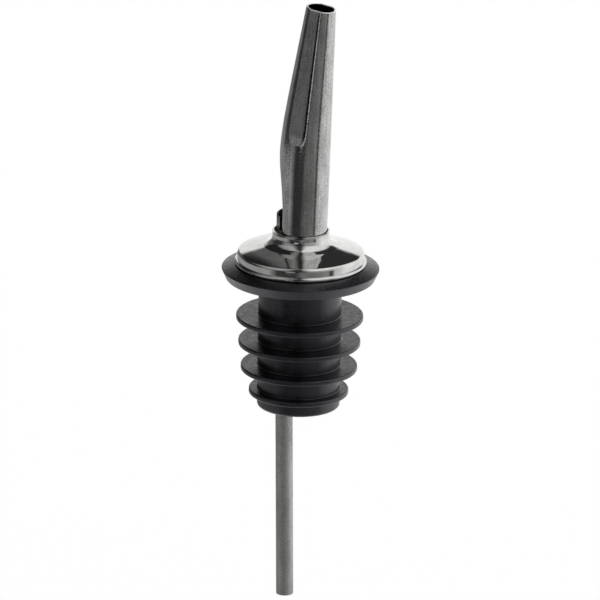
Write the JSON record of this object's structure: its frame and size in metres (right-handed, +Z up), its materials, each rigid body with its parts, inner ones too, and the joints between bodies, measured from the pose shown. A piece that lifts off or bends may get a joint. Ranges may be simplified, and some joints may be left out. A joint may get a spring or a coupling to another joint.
{
  "type": "liquor pour spout",
  "caption": "Free-flow bottle pourer: tapered dark metal spout on a chrome dome, long vent tube, and a finned black rubber stopper.",
  "frame": {"origin": "on the stopper's axis, at the underside of its flange, where it stops on the bottle's lip", "axes": "+Z up along the stopper's axis, out of the bottle; +X the way the spout leans; the vent tube is on the -X side"},
  "size_m": [0.0318, 0.0318, 0.1252],
  "materials": {
    "rubber": "matt moulded black rubber with a cool tint",
    "gunmetal": "black nickel plate over a fine drawn grain",
    "dark_chrome": "polished black chrome",
    "vent_metal": "black nickel plate, brushed along its length",
    "base_metal": "plain black nickel plate",
    "solder": "dull plated solder"
  },
  "bodies": {
    "stopper": {"stopper": "rubber"},
    "pourer": {"spout_tube": "gunmetal", "collar_dome": "dark_chrome", "collar_base_disc": "base_metal", "stem_tube": "base_metal", "vent_tube": "vent_metal", "neck_solder": "solder", "stem_solder": "solder"}
  },
  "joints": [
    {"name": "pourer_pull", "type": "slide", "parent": "stopper", "child": "pourer", "axis": [0, 0, 1], "range_m": [0, 0.072]}
  ]
}
